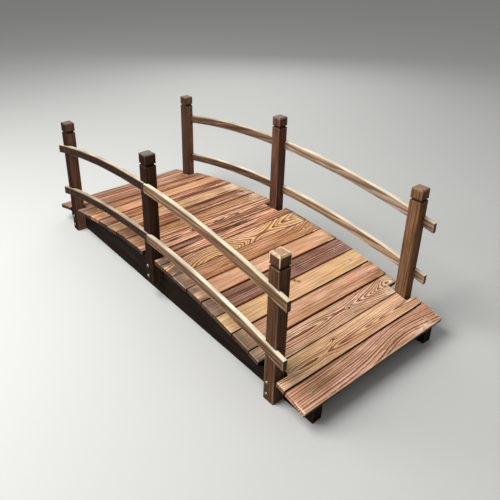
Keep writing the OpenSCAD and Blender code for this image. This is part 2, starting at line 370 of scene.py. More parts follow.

# %% [markdown]
# ## One material for each piece of timber
# Every board, post and rail comes from another tree, so each has a material of its own, which
# holds the same two groups with other numbers. The pieces carry attributes that the material
# reads: timber coordinates, along the grain, across it and out of the face, and for each point
# how worn it is and how much soot and dirt it kept, with painted highlights among the wear and
# painted shade among the soot and dirt.
# Oiled wood reflects like any varnish, with an IOR of 1.5, but brushed fibres scatter most of it.
# So the reflection is turned well down, by the gloss, and the darkest sticks have the least.

# %% Material for a piece of timber
BUMP_HEIGHT, BUMP_STRENGTH = 0.8 * MM, 0.55    # of what is too fine for the mesh


def grain_numbers(look):
    """The grain recipe's inputs in metres, from a look in millimetres."""
    def in_metres(key, otherwise):
        return tuple(MM * v for v in look.get(key, otherwise))
    far_away = (9000, 9000, 0)
    across, below = look["pith"]
    return {"Pith": (0, MM * across, -MM * below), "Taper": look["taper"],
            "Ring Width": MM * look["ring"], "Wander": MM * look["wander"], "Seed": look["seed"],
            "Bend": in_metres("bend", (0, 0, 1000)), "Knot": in_metres("knot", far_away),
            "Burl": in_metres("burl", far_away), "Second Burl": in_metres("second_burl", far_away),
            "Lean": look.get("lean", 0.0), "Late Start": look.get("late", 0.15),
            "Far Lines": look.get("far", 1.0)}


def timber_material(name, look):
    """A material from a look: its colours, its grain numbers in millimetres, its contrast."""
    material = bpy.data.materials.new(name)
    material.use_nodes = True
    tree = material.node_tree
    tree.nodes.clear()
    timber = add(tree, "ShaderNodeAttribute", attribute_name="timber").outputs["Vector"]
    wear_and_highlight = add(tree, "ShaderNodeAttribute", attribute_name="wear_and_highlight").outputs["Fac"]
    grime_and_shade = add(tree, "ShaderNodeAttribute", attribute_name="grime_and_shade").outputs["Fac"]
    soot_and_shade = add(tree, "ShaderNodeAttribute", attribute_name="soot_and_shade").outputs["Fac"]
    grain = add(tree, "ShaderNodeGroup", {"Timber": timber, **grain_numbers(look)},
                node_tree=grain_for_shaders)
    finish = add(tree, "ShaderNodeGroup", {
        "Timber": timber, "Latewood": grain.outputs[0], "Knot Wood": grain.outputs[1], "Wear And Highlight": wear_and_highlight,
        "Grime And Shade": grime_and_shade, "Seed": look["seed"] + 0.5, "Light Wood": linear(look["light"]),
        "Ring Lines": linear(look["lines"]), "Streaks": linear(look.get("streak", look["lines"])),
        "Contrast": look.get("contrast", 0.95), "Banding": look.get("banding", 0.5),
        "Worn And Lit Wood": linear(look.get("worn", WORN_AND_LIT_PALE)), "Soot And Shade": soot_and_shade,
    }, node_tree=torched_finish)
    bump = add(tree, "ShaderNodeBump",
               {"Strength": BUMP_STRENGTH, "Distance": BUMP_HEIGHT, "Height": finish.outputs[2]})
    surface = add(tree, "ShaderNodeBsdfPrincipled", {
        "Base Color": finish.outputs[0], "Roughness": finish.outputs[1], "Normal": bump, "IOR": 1.5,
        "Specular IOR Level": look.get("gloss", 0.08)})
    add(tree, "ShaderNodeOutputMaterial", {"Surface": surface})
    return material


print("without a look of its own, worn wood is", WORN_AND_LIT_PALE, "and knots are", KNOT_BROWN)

# %% [markdown]
# ## The deck boards
# A board of the construction model is exact but lifeless: its faces are flat and its edges
# straight. The real ones are sawn from fir, softened at the edges by shoes, and their hard ring
# lines stand proud. So each is made again as a slab over a grid of points. The grid is packed
# closely at the edges, where the surface turns down, and its lines fall on the sides of the
# notches, so a notch is simply a group of cells that is left out.
# Each board's ends are read from the construction piece it replaces, so nothing is measured twice.

# %% Sizes that the deck follows
BOARD_COUNT = 20
BOARD_PITCH = 98 * MM
BOARD_THICK = 22 * MM
DECK_RADIUS = 3570 * MM
CROWN_HEIGHT = 222 * MM
NOTCH_LINE = 345 * MM     # from the middle of the deck to the notches round the posts
NOTCH_SHIFT = 6 * MM      # how far an end post stands off the joint between its boards
GRID_ALONG, GRID_ACROSS = 5 * MM, 1.6 * MM
SOFT_EDGE = np.array([0, 0.1, 0.35, 0.7, 1.1, 1.8]) * 3 * MM    # grid lines from an edge inwards


def board_turn(number):
    """The matrix that takes a board, lying flat with its top at zero, to its place on the arch."""
    steps = (BOARD_COUNT + 1) / 2 - number
    return (Matrix.Translation((0, 0, CROWN_HEIGHT - DECK_RADIUS))
            @ Matrix.Rotation(steps * BOARD_PITCH / DECK_RADIUS, 4, "Y")
            @ Matrix.Translation((0, 0, DECK_RADIUS)))


def laid_flat(number):
    """The corners of a construction board's box when the board lies flat."""
    back = board_turn(number).inverted()
    corners = np.array([back @ v.co for v in nodes[f"deck_board_{number:02d}"].data.vertices])
    return corners.min(0), corners.max(0)


def notch_of(number):
    """The range across a board that its post notches take, or None."""
    steps = (BOARD_COUNT + 1) / 2 - number
    # Steps from the crown, then which half of the board is cut, the one away from the crown (1)
    # or the one towards it (-1), and whether the cut's end is shifted away from the crown.
    notched = {0.5: (-1, 0), 7.5: (1, 1), 8.5: (-1, 1)}
    if abs(steps) not in notched:
        return None
    side, shifted = [math.copysign(1, steps) * sign for sign in notched[abs(steps)]]
    stop = NOTCH_SHIFT * shifted
    return (stop, 1.0) if side > 0 else (-1.0, stop)


print("notched boards:", [n for n in range(1, BOARD_COUNT + 1) if notch_of(n)])
print("board 1 lies flat within", [np.round(1000 * c, 1) for c in laid_flat(1)])

# %% [markdown]
# ## Where the fasteners go
# The places are settled before any timber is finished, because wood goes dark in a ring round a
# screw or a bolt, where water lies and soot stays. A place is a point on a face and the
# direction that the head looks in.
# - One screw holds each end of a deck board down, over the middle of the beam.
# - Two screws hold each end of a rail segment, one in a middle post and one in an end post.
# - Two bolts hold each post to its beam, with nuts outside and domed heads inside.

# %% Places of screws and bolts
POST_FACE, RAIL_DEPTH = 400 * MM, 42 * MM
RAIL_ARCS = {"handrail": (3980 * MM, 581 * MM), "lower_rail": (3860 * MM, 340 * MM)}  # radius, top
BOLT_HEIGHTS = (30 * MM, 83 * MM)
BOLT_SHIFT = 7 * MM                      # bolts stand this far off the middle of a post
FROM_JOINT = {"near": 18 * MM, "far": -16 * MM}    # from a rail segment's joint to its screw
RAIL_SCREW_SHIFT = 9 * MM                # rail screws stand this far outside an end post's middle
SIDES = {"left": -1, "right": 1}
beam_low, beam_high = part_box("beam_right")
post_x = sum(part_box("post_right_near"), Vector()).x / 2
screw_line = (beam_low.y + beam_high.y) / 2


def jog(seed, reach):
    """A small stray that the same seed always gives, up to the reach either way."""
    return reach * noise.noise(Vector((3.7 * seed, 1.3, 0.4)))


def board_site(number, side):
    """The place of a board's screw at one end."""
    turn = board_turn(number)
    spot = Vector((jog(number + 40 * side, 8 * MM), side * screw_line + jog(number, 6 * MM), 0))
    return turn @ spot, turn.to_3x3() @ Vector((0, 0, 1))


def rail_pair(rail, side, half):
    """The places of the two screws of a rail segment: by the joint, and in the end post."""
    radius, top = RAIL_ARCS[rail]
    low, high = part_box("_".join((rail, side, half)))
    joint = (low.x if half == "near" else high.x) + FROM_JOINT[half]
    out = SIDES[side]
    for x in (joint, math.copysign(post_x + RAIL_SCREW_SHIFT, low.x + high.x)):
        middle = math.sqrt((radius - RAIL_DEPTH / 2) ** 2 - x ** 2) + top - radius
        yield Vector((x, low.y if out < 0 else high.y, middle)), Vector((0, out, 0))


deck_sites = [board_site(n, side) for n in range(1, BOARD_COUNT + 1) for side in SIDES.values()]
rail_sites = [site for rail in RAIL_ARCS for side in SIDES for half in FROM_JOINT
              for site in rail_pair(rail, side, half)]
nut_sites, dome_sites = [], []
for name in sorted(n for n in nodes if n.startswith("post")):
    low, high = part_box(name)
    side = SIDES[name.split("_")[1]]
    for height in BOLT_HEIGHTS:
        x, z = (low.x + high.x) / 2 - BOLT_SHIFT, low.z + height
        nut_sites.append((Vector((x, side * POST_FACE, z)), Vector((0, side, 0))))
        dome_sites.append((Vector((x, side * beam_low.y, z)), Vector((0, -side, 0))))
print("fasteners:", len(deck_sites), "deck screws,", len(rail_sites), "rail screws and",
      len(nut_sites), "bolts")

# %% [markdown]
# ## How near is the nearest?
# Dirt gathers round a screw, and hands rub a corner. Both need the distance from each point of a
# mesh to the nearest of many places. Comparing every pair would take minutes, and a search tree
# answers at once.
# What is worn or dirty then fades with that distance, and it comes and goes in patches.

# %% Distances, fading and patches
def search_tree(points):
    """A tree that finds the nearest of some points."""
    tree = kdtree.KDTree(len(points))
    for index, point in enumerate(points):
        tree.insert(point, index)
    tree.balance()
    return tree


def distances(points, tree):
    """How far each point is from the nearest one in a tree."""
    return np.array([tree.find(p)[2] for p in points])


def fade(distance, reach, start=1.0):
    """Full at no distance and nothing past the reach. A start above 1 carries both further."""
    return np.clip(start - distance / reach, 0, 1)


def ramp(value, start, full):
    """0 up to the start and 1 from the full value on."""
    return np.clip((value - start) / (full - start), 0, 1)


def patchy(patch, mean, swing):
    """A strength from 0 to 1 that follows the patches of a noise."""
    return np.clip(mean + swing * patch, 0, 1)


SCREW_RING, BOLT_RING = 7 * MM, 13 * MM
screw_finder = search_tree([place for place, _ in deck_sites + rail_sites])
bolt_finder = search_tree([place for place, _ in nut_sites + dome_sites])


def ring_stain(points):
    """The dark ring round each fastener, from 0 to 1."""
    screws = fade(distances(points, screw_finder), SCREW_RING)
    bolts = fade(distances(points, bolt_finder), BOLT_RING)
    return np.maximum(screws, bolts)


print("a stain 3 mm from a screw is", round(float(fade(3 * MM, SCREW_RING)), 2), "strong")

# %% [markdown]
# ## A slab over a grid
# A formula gives the height of each point of a grid, and that is the top of a board. Walls hang
# from the rim of the grid in a few steps, and one face closes the slab below.
# Going round each cell, a side between two cells is walked once each way. A side on the rim is
# walked only once, and that is how the rim is found.

# %% A closed slab over a grid
def soft_lines(low, high, step):
    """Grid lines from low to high, packed where the surface turns down at both edges."""
    count = max(2, round((high - low - 2 * SOFT_EDGE[-1]) / step))
    middle = np.linspace(low + SOFT_EDGE[-1], high - SOFT_EDGE[-1], count)
    return np.concatenate([low + SOFT_EDGE[:-1], middle, high - SOFT_EDGE[:-1][::-1]])


def slab(across, along, height, keep, thick, floors=4):
    """Points and faces of a closed slab: a top over the kept cells, walls, and one face below."""
    index = np.arange(len(across) * len(along)).reshape(len(across), len(along))
    cells = np.stack([index[:-1, :-1][keep], index[1:, :-1][keep], index[1:, 1:][keep],
                      index[:-1, 1:][keep]], 1)
    steps = np.concatenate([cells[:, [i, (i + 1) % 4]] for i in range(4)])
    total = index.size
    outer = steps[~np.isin(steps[:, 0] * total + steps[:, 1], steps[:, 1] * total + steps[:, 0])]
    following = dict(outer.tolist())
    rim = [outer[0, 0]]
    while following[rim[-1]] != rim[0]:
        rim.append(following[rim[-1]])
    rim = np.array(rim)

    grid_x, grid_y = np.meshgrid(across, along, indexing="ij")
    points = np.stack([grid_x, grid_y, height], -1).reshape(-1, 3)
    rings, levels = [rim], [points]
    for floor in range(1, floors + 1):
        level = points[rim].copy()
        level[:, 2] += (-thick - level[:, 2]) * floor / floors
        rings.append(sum(map(len, levels)) + np.arange(len(rim)))
        levels.append(level)
    faces = cells.tolist()
    for upper, lower in zip(rings, rings[1:]):
        faces += np.stack([np.roll(upper, -1), upper, lower, np.roll(lower, -1)], 1).tolist()
    faces.append(rings[-1][::-1].tolist())
    points = np.concatenate(levels)
    used = np.unique(np.concatenate([np.ravel(f) for f in (cells, np.concatenate(rings))]))
    place = np.full(len(points), -1)
    place[used] = np.arange(len(used))
    return points[used], [[int(place[i]) for i in f] for f in faces]


# %% The shape of a board
EDGE_ROUND, EDGE_STRAY = 2.4, 1.6    # mm that shoes have rounded an edge, and how much that varies
CUP = 0.35 * MM                      # a board bends up or down across its width as it dries
WAVINESS = 0.7 * MM                  # of its long edges
RUB_WAVES, EDGE_WAVES = waves(111, 111)[0], waves(200, 200)[0]    # along the board


def edge_distance(x, y, low, high, notch):
    """How far a point on a board's face is from the board's nearest edge."""
    near = np.minimum.reduce([x - low[0], high[0] - x, y - low[1], high[1] - y])
    if notch:
        aside = np.maximum(notch[0] - x, x - notch[1])
        inward = NOTCH_LINE - np.abs(y)
        near = np.minimum(near, np.hypot(np.maximum(aside, 0), np.maximum(inward, 0)))
    return np.maximum(near, 0)


def board_grid(low, high, notch):
    """Grid lines across and along a board, and the cells that its notches leave."""
    stops, ends = [low[0], high[0]], [low[1], high[1]]
    if notch:
        stops = sorted([*stops, notch[0] if notch[1] == 1 else notch[1]])
        ends = [low[1], -NOTCH_LINE, NOTCH_LINE, high[1]]
    lines = []
    for marks, step in ((stops, GRID_ACROSS), (ends, GRID_ALONG)):
        spans = [soft_lines(a, b, step) for a, b in zip(marks, marks[1:])]
        lines.append(np.unique(np.concatenate(spans)))
    across, along = lines
    keep = np.ones((len(across) - 1, len(along) - 1), bool)
    if notch:
        mid_x, mid_y = (across[1:] + across[:-1]) / 2, (along[1:] + along[:-1]) / 2
        in_notch = (mid_x > notch[0]) & (mid_x < notch[1])
        keep = ~(in_notch[:, None] & (np.abs(mid_y) > NOTCH_LINE)[None])
    return across, along, keep


def board_shape(number, low, high):
    """Points and faces of a board that lies flat, and how far each point is from an edge."""
    notch = notch_of(number)
    across, along, keep = board_grid(low, high, notch)
    x, y = np.meshgrid(across, along, indexing="ij")
    rub = np.array([noise.noise(Vector((RUB_WAVES * t, number, 0.5))) for t in along])
    soft = (EDGE_ROUND + EDGE_STRAY * rub) * MM
    dip = np.maximum(soft - edge_distance(x, y, low, high, notch), 0)
    cup = CUP * math.sin(number * 2.4) * (1 - (2 * x / BOARD_PITCH) ** 2)
    height = cup - (soft - np.sqrt(np.maximum(soft ** 2 - dip ** 2, 0)))
    points, faces = slab(across, along, height, keep, BOARD_THICK)
    edge = edge_distance(points[:, 0], points[:, 1], low, high, notch)
    wavy = np.array([noise.noise(Vector((EDGE_WAVES * p[1], number + 0.3 * (p[0] > 0), 7.5)))
                     for p in points])
    points[:, 0] += WAVINESS * wavy * np.abs(2 * points[:, 0] / BOARD_PITCH) ** 3
    return points, faces, edge


print("a board's grid has lines across at", np.round(board_grid(*laid_flat(2), None)[0][:4] / MM, 2))

# %% [markdown]
# ## Weather and painted light on a board
# Shoes, rain and the brush treat no two boards alike, so the boards differ by what is written in
# a few short lists, and each point of a mesh gets three numbers from 0 to 1.
# - Wear is how pale it has gone: on rubbed edges, in scuffs, and where dust lies on an end, and
#   on the near edges a painted highlight too.
# - Char is the soot that no brush reached, down in the joints and on a strip beside them, with
#   painted shade there too.
# - Grime is dirt: on end grain, over the damp left ends, in stains and round screws, with painted
#   shade on the sides and ends of the boards.
# They are kept on the mesh and not in a picture, so they stay sharp at any distance, and the
# material only has to mix its colours by them.

# %% What happened to each board
BARE_EDGES = {1: 2, 2: 4, 3: 3, 5: 1, 9: 1.5, 10: 1.5}       # mm of a near edge without soot and painted shade
PALE_AND_LIT_EDGES = {1: 1.0, 2: 0.8, 3: 0.7, 4: 0.2, 5: 0.9}        # how pale that edge has worn, with a painted highlight on its rounded arris
SOOT_AND_SHADE_EDGES = {4: (5, 7), 5: (3.5, 5), 7: (6, 6), 8: (6, 3.5), 9: (3.5, 4)}    # mm: near, far
DUSTY_ENDS = {3: 0.5, 9: 0.3, 12: 0.35, 13: 0.5, 14: 0.75}   # right ends gone pale with dust
CLEAN_ENDS = {1: 0.3, 2: 0.75, 6: 0.6, 16: 0.6}              # dirt and painted shade on end grain lighter than most
# How dirty a board's top is, where 1 is like most.
DIRTY_TOPS = {1: 0, 2: 0, 4: 1.3, 5: 0.25, 7: 1.7, 8: 1.3, 9: 3, 10: 4, 12: 0.5, 13: 0.8, 16: 0}
# Patches on a board: place along and across, half sizes, all in mm, and strength.
SCUFFS = {
    1: [(285, 36, 75, 13, 1.0), (-250, 46, 90, 4, 0.6), (100, 46, 60, 4, 0.6)],
    3: [(322, 20, 34, 28, 1.0)],
    10: [(170, 2, 170, 6, 0.5)],
    11: [(165, 42, 190, 6, 0.5), (-95, -6, 8, 8, 0.9)],
    13: [(110, 5, 100, 5, 0.5), (110, 26, 100, 5, 0.45)],
    14: [(100, 40, 110, 8, 0.5)],
}
STAINS = {
    5: [(12, -36, 9, 9, 0.9), (23, -22, 9, 9, 0.8)],
    6: [(85, 5, 32, 40, 0.35)],
    10: [(110, -12, 160, 6.5, 1.5), (110, -30, 160, 14, 0.6), (-235, -12, 60, 6, 1.2)],
    11: [(-240, 5, 50, 6, 1.3), (38, -9, 42, 7, 1.7), (160, -5, 16, 6, 1.3),
         (170, 28, 190, 12, 0.45), (-112, -8, 9, 10, 1.3)],
    13: [(150, -32, 150, 15, 0.65), (110, 16, 100, 5, 0.6), (355, -2, 9, 24, 0.8)],
    14: [(270, 34, 60, 7, 0.9), (-235, 38, 40, 6, 0.8)],
    15: [(150, 28, 200, 12, 0.6)],
    17: [(320, 32, 35, 10, 1.0)],
}
PATCH_EDGE = 1.3    # a patch fades out over this many of its half sizes
STAIN_WAVES = waves(16.67, 3.333)    # an uneven patch breaks up into short streaks


def patched(points, patches, evenness):
    """How deep each point of a board's top lies in its patches, which may be streaky."""
    depth = np.zeros(len(points))
    streaks = 2.6 - 2 * evenness
    for along, across, half_long, half_wide, strength in patches:
        reach = np.hypot((points[:, 1] / MM - along) / half_long,
                         (points[:, 0] / MM - across) / half_wide)
        for i in np.flatnonzero((reach < PATCH_EDGE) & (points[:, 2] > -3 * MM)):
            at = Vector((STAIN_WAVES[0] * points[i, 1], STAIN_WAVES[1] * points[i, 0], 2.5))
            share = min(max(evenness + streaks * noise.noise(at), 0), 1)
            depth[i] = max(depth[i], min(strength * (PATCH_EDGE - reach[i]), 1) * share)
    return depth


print("patches:", sum(map(len, SCUFFS.values())), "scuffs and", sum(map(len, STAINS.values())), "stains")

# %% Wear, dirt, soot and painted light of a board
PATCH_WAVES = waves(71.4, 33.3)
SOOT_AND_SHADE_STRIP = 3.5                         # mm beside a joint that most brushes don't reach, dark with soot and painted shade
DAMP_LEFT, DRY_RIGHT = 70 * MM, 26 * MM   # how far dirt reaches inwards from each end
END_DIRT_AND_SHADE, OUTSIDE_DIRT_AND_SHADE = 0.92, 0.8        # dirt and painted shade on end grain, and on the outer sides of the deck


def places_on(number, points, low, high):
    """Where each point of a flat board lies, and how the patches of its weather go."""
    along = points[:, 1]
    at = SimpleNamespace(depth=-points[:, 2], near=points[:, 0] > 0)
    at.from_left, at.from_right = along - low[1], high[1] - along
    at.end = np.minimum(at.from_left, at.from_right) < 1 * MM
    at.outside = (at.near & (number == 1)) | ((points[:, 0] < 0) & (number == BOARD_COUNT))
    at.joint = ~at.end & ~at.outside & (np.abs(along) < NOTCH_LINE - 1 * MM)
    at.patch = np.array([noise.noise(Vector((PATCH_WAVES[0] * p[1], PATCH_WAVES[1] * p[0], number)))
                         for p in points])
    return at


def board_soot_and_shade(number, points, edge, at, shaded_sides):
    """Soot and painted shade down in the joints, and on strips of the top beside them."""
    near_reach, far_reach = SOOT_AND_SHADE_EDGES.get(number, (SOOT_AND_SHADE_STRIP, SOOT_AND_SHADE_STRIP))
    near_soot_and_shade = 0 if number in BARE_EDGES else 0.95 if number in SOOT_AND_SHADE_EDGES else 0.7
    strip = fade(edge, np.where(at.near, near_reach, far_reach) * MM, 1.3)
    strip *= np.where(at.near, near_soot_and_shade, 0.95) * (np.abs(points[:, 1]) < NOTCH_LINE)
    return np.maximum(strip, shaded_sides * at.joint)


def board_dirt(number, at):
    """Dirt over a board's top, from its damp left end and its drier right end inwards."""
    dirt = np.maximum(0.85 * fade(at.from_left, DAMP_LEFT), 0.65 * fade(at.from_right, DRY_RIGHT))
    dirt *= patchy(at.patch, 0.8, 1.2) * DIRTY_TOPS.get(number, 1)
    return np.minimum(dirt, 0.9)


def board_wear_and_highlight(number, points, edge, at):
    """How pale a board has gone, with a painted highlight on its near edges, before dirt and soot cover
    it.
    """
    rubbed = fade(edge + at.depth, 4.2 * MM, 1.4) * np.minimum(patchy(at.patch, 0.65, 0.9), 0.85)
    rubbed *= np.where(at.near, PALE_AND_LIT_EDGES.get(number, 0), 0.15)
    dust = np.clip(1 - at.from_right / (90 * MM) + 1.4 * at.patch, 0, 1) * (at.depth < 3 * MM)
    dust *= DUSTY_ENDS.get(number, 0)
    return np.maximum.reduce([rubbed, dust, patched(points, SCUFFS.get(number, ()), 0.3)])


def board_weather(number, points, edge, low, high):
    """The wear, grime and char of each point of a flat board, painted light and shade among them."""
    at = places_on(number, points, low, high)
    bare = np.where(at.near, BARE_EDGES.get(number, 0.4) * MM, 0.6 * MM)
    # The sides of a board below its rounded top are painted darker: shade in the joints, and dirt with
    # shade on the ends and outer sides.
    shaded_sides = ramp(at.depth, bare, bare + 1.2 * MM)
    soot_and_shade = board_soot_and_shade(number, points, edge, at, shaded_sides)
    dirt = board_dirt(number, at)
    dirt_and_shade_on_sides = np.select([at.end, at.outside, at.joint],
                            [CLEAN_ENDS.get(number, END_DIRT_AND_SHADE), OUTSIDE_DIRT_AND_SHADE, 0], 1)
    stains = patched(points, STAINS.get(number, ()), 1.0)
    grime_and_shade = np.maximum.reduce([shaded_sides * dirt_and_shade_on_sides, dirt, stains])
    wear_and_highlight = board_wear_and_highlight(number, points, edge, at) * ((1 - grime_and_shade) * (1 - soot_and_shade))
    left_rim = fade(at.from_left + at.depth, 2.5 * MM, 1.2) * patchy(at.patch, 0.6, 1)
    dust_on_dirt = np.minimum(dirt, 0.5) * (at.depth < 1 * MM)
    return np.maximum.reduce([wear_and_highlight, 0.55 * left_rim, 0.26 * dust_on_dirt]), grime_and_shade, soot_and_shade


# %% Build a board
def store(mesh, name, values):
    """Keeps one number or one vector for each point of a mesh."""
    kind, field = ("FLOAT_VECTOR", "vector") if values.ndim == 2 else ("FLOAT", "value")
    layer = mesh.attributes.new(name, kind, "POINT")
    layer.data.foreach_set(field, np.ascontiguousarray(values, np.float32).ravel())


def build_board(number):
    """A board as a mesh in its place, with its timber coordinates, its weather and its painted light."""
    low, high = laid_flat(number)
    points, faces, edge = board_shape(number, low, high)
    wear_and_highlight, grime_and_shade, soot_and_shade = board_weather(number, points, edge, low, high)
    turn = board_turn(number)
    in_place = [turn @ Vector(p) for p in points]
    mesh = bpy.data.meshes.new(f"board_{number:02d}")
    mesh.from_pydata(in_place, [], faces)
    store(mesh, "timber", points[:, [1, 0, 2]])
    store(mesh, "wear_and_highlight", wear_and_highlight)
    store(mesh, "grime_and_shade", np.maximum(grime_and_shade, ring_stain(in_place)))
    store(mesh, "soot_and_shade", soot_and_shade)
    mesh.shade_smooth()
    mesh.set_sharp_from_angle(angle=math.radians(40))
    return mesh


print("board 1:", len(board_shape(1, *laid_flat(1))[0]), "points")

# %% [markdown]
# ## Raised grain
# Brushing takes about half a millimetre off the soft wood, and the hard line of each ring
# stays. Bump could fake it, but a real bridge shows it at the edges and ends too. A Geometry
# Nodes tree holds the grain recipe, reads a piece's timber coordinates and moves its points
# in along their normals. Its result is then kept as a plain mesh.

# %% The raised grain tree
def raised_grain_tree():
    """Sinks the soft wood of a piece by the relief, and leaves its latewood where it is."""
    tree = bpy.data.node_groups.new("raised_grain", "GeometryNodeTree")
    tree.interface.new_socket("Geometry", in_out="INPUT", socket_type="NodeSocketGeometry")
    relief = tree.interface.new_socket("Relief", in_out="INPUT", socket_type="NodeSocketFloat")
    relief.default_value = 0.6 * MM
    tree.interface.new_socket("Material", in_out="INPUT", socket_type="NodeSocketMaterial")
    for name, socket, value in GRAIN_INPUTS[1:]:
        tree.interface.new_socket(name, in_out="INPUT", socket_type=socket).default_value = value
    tree.interface.new_socket("Geometry", in_out="OUTPUT", socket_type="NodeSocketGeometry")
    given = add(tree, "NodeGroupInput").outputs
    timber = add(tree, "GeometryNodeInputNamedAttribute", {"Name": "timber"}, data_type="FLOAT_VECTOR")
    grain = add(tree, "GeometryNodeGroup",
                {"Timber": timber, **{name: given[name] for name, _, _ in GRAIN_INPUTS[1:]}},
                node_tree=grain_for_meshes)
    soft = add(tree, "ShaderNodeMath", {0: grain.outputs[0], 1: 1.0}, operation="SUBTRACT")
    sink = add(tree, "ShaderNodeMath", {0: soft, 1: given["Relief"]}, operation="MULTIPLY")
    normal = add(tree, "GeometryNodeInputNormal")
    offset = add(tree, "ShaderNodeVectorMath", {0: normal, 1: sink}, operation="SCALE")
    moved = add(tree, "GeometryNodeSetPosition", {"Geometry": given["Geometry"], "Offset": offset})
    real = add(tree, "GeometryNodeRealizeInstances", {"Geometry": moved})
    finished = add(tree, "GeometryNodeSetMaterial", {"Geometry": real, "Material": given["Material"]})
    add(tree, "NodeGroupOutput", {"Geometry": finished})
    return tree


def with_nodes(name, mesh, tree, values):
    """An object whose mesh is the result of a Geometry Nodes tree, with no modifier left."""
    made = bpy.data.objects.new(name, mesh)
    bpy.context.collection.objects.link(made)
    modifier = made.modifiers.new(tree.name, "NODES")
    modifier.node_group = tree
    for item in tree.interface.items_tree:
        if item.in_out == "INPUT" and item.name in values:
            modifier[item.identifier] = values[item.name]
    graph = bpy.context.evaluated_depsgraph_get()
    plain = bpy.data.meshes.new_from_object(made.evaluated_get(graph), preserve_all_data_layers=True,
                                            depsgraph=graph)
    made.modifiers.clear()
    made.data = plain
    plain.name = name
    return made


raised_grain = raised_grain_tree()
print("the raised grain tree has", len(raised_grain.nodes), "nodes")


def finish_timber(name, mesh, node, look, relief):
    """Raises the grain of a mesh, gives it its material and lets it stand for a construction piece."""
    values = {"Relief": relief, "Material": timber_material("torched_fir_" + name, look)}
    piece = with_nodes(name, mesh, raised_grain, {**values, **grain_numbers(look)})
    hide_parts(node)
    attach(piece, "root")
    return piece


# %% [markdown]
# ## The cut list
# The boards of this bridge came from many trees, and their grain is what one sees first. Each
# line gives a board's colours and how it was cut: where the pith lies in millimetres, how fast
# the rings run out, their width, how much they wander, and its knots and burls.
# Contrast says how dark the ring lines are, banding how strong its streaks are, and seed which
# of the endless patterns the board gets.

# %% Looks of the boards
def look(light, lines, pith, taper, ring, wander, seed, **more):
    """A board's look: two colours, the numbers every board has, and those that only some have."""
    return {"light": light, "lines": lines, "pith": pith, "taper": taper, "ring": ring,
            "wander": wander, "seed": seed, **more}


BOARD_LOOKS = {
    1: look("#F3BC9D", "#4F301E", (60, 20), -0.012, 7.5, 12, 1.3, bend=(190, -30, 190), banding=0.3),
    2: look("#F3C49C", "#6A3A20", (11, 6), -0.045, 6.5, 7, 2.1, bend=(-160, 7, 45), knot=(-86, -18, 4),
            far=0.6, late=0.25, contrast=0.95, banding=0.15),
    3: look("#F3C9A6", "#65311E", (-4, 6), -0.05, 6.5, 10, 3.7, bend=(70, 24, 150), knot=(91, 2, 4.5),
            burl=(345, -26, 14), banding=0.2),
    4: look("#DCA985", "#50301F", (-110, 40), -0.015, 9, 14, 4.2, knot=(330, 2, 2.5), contrast=0.5,
            banding=0.45),
    5: look("#E4BF91", "#A44B2D", (150, 60), -0.01, 11, 16, 5.9, burl=(240, -24, 6), contrast=0.35,
            banding=0.12),
    6: look("#AB806E", "#4D301E", (120, 20), 0.004, 9, 8, 6.4, banding=0.6, streak="#5B3231"),
    7: look("#DFAF8E", "#714620", (20, 150), 0.03, 12, 20, 7.2, contrast=0.25, banding=0.12),
    8: look("#D19A74", "#4E301E", (-60, 30), -0.02, 10, 10, 8.8, bend=(440, 60, 140), burl=(-172, -4, -8),
            contrast=0.6, banding=0.5),
    9: look("#F2C499", "#75421F", (30, 6), 0.0, 14, 3, 9.1, lean=-0.12, bend=(112, 75, 170),
            burl=(-175, 40, 54), contrast=1.0, banding=0.1),
    10: look("#E3A681", "#4D301E", (-26, 24), 0.02, 10, 10, 10.6, banding=0.8, streak="#53302D"),
    11: look("#EDB491", "#4F301E", (-17, 9), 0.03, 10, 8, 11.3, bend=(40, -12, 70), knot=(-108, -20, 5),
            banding=0.7, streak="#6B4642"),
    12: look("#C9966D", "#4E301E", (60, 40), 0.02, 12, 18, 12.7, banding=0.6),
    13: look("#A87151", "#4D301E", (60, 40), -0.01, 11, 14, 13.1, banding=0.9, streak="#64352F"),
    14: look("#D8AE86", "#583323", (-90, 25), 0.01, 12, 12, 14.5, contrast=0.8, banding=0.5),
    15: look("#BB8160", "#55301E", (10, 30), -0.03, 11, 16, 15.2, contrast=0.9, banding=0.8),
    16: look("#E8B28F", "#734C29", (-50, 35), 0.02, 12, 12, 16.9, contrast=0.7, banding=0.35),
    17: look("#C48F6B", "#5F3A1E", (30, 20), 0.03, 12, 16, 17.4, contrast=0.9, banding=0.7),
    18: look("#BB8769", "#4D301E", (90, 40), -0.02, 12, 12, 18.8, banding=0.8, streak="#6B3D38"),
    19: look("#C8997C", "#65301E", (-10, 26), -0.02, 12, 16, 19.6, contrast=0.9, banding=0.7),
    20: look("#BF9A82", "#4D301E", (40, 50), 0.02, 12, 14, 20.3, banding=0.8),
}

# %% Make the deck
BOARD_RELIEF, STICK_RELIEF = 0.7 * MM, 0.5 * MM
boards = [finish_timber(f"board_{number:02d}", build_board(number), f"deck_board_{number:02d}",
                        board_look, BOARD_RELIEF)
          for number, board_look in BOARD_LOOKS.items()]
print("deck:", len(boards), "boards,", sum(len(b.data.polygons) for b in boards), "faces")

# %% [markdown]
# ## Posts, beams and rails
# The construction meshes of these have the right outline, housings and saw kerfs, but only a few
# large faces, and grain can't stand proud of a face that has no points in it. So each mesh is
# copied, its loose triangles are merged, and the copy is cut by planes: closely at its edges,
# which are worn, and every few millimetres between them. A rail follows an arc, so it is unrolled
# before it is cut and rolled up again afterwards, and the cuts follow its own edges.
# Each point also learns how far it is from an outer corner, where hands and weather rub the wood
# pale, and from an inner one, which is painted darker as shade.

# %% Cut a copy of a construction piece
SHARP = math.radians(20)
FAR_AWAY = Vector((9, 9, 9))    # keeps a search tree from being empty


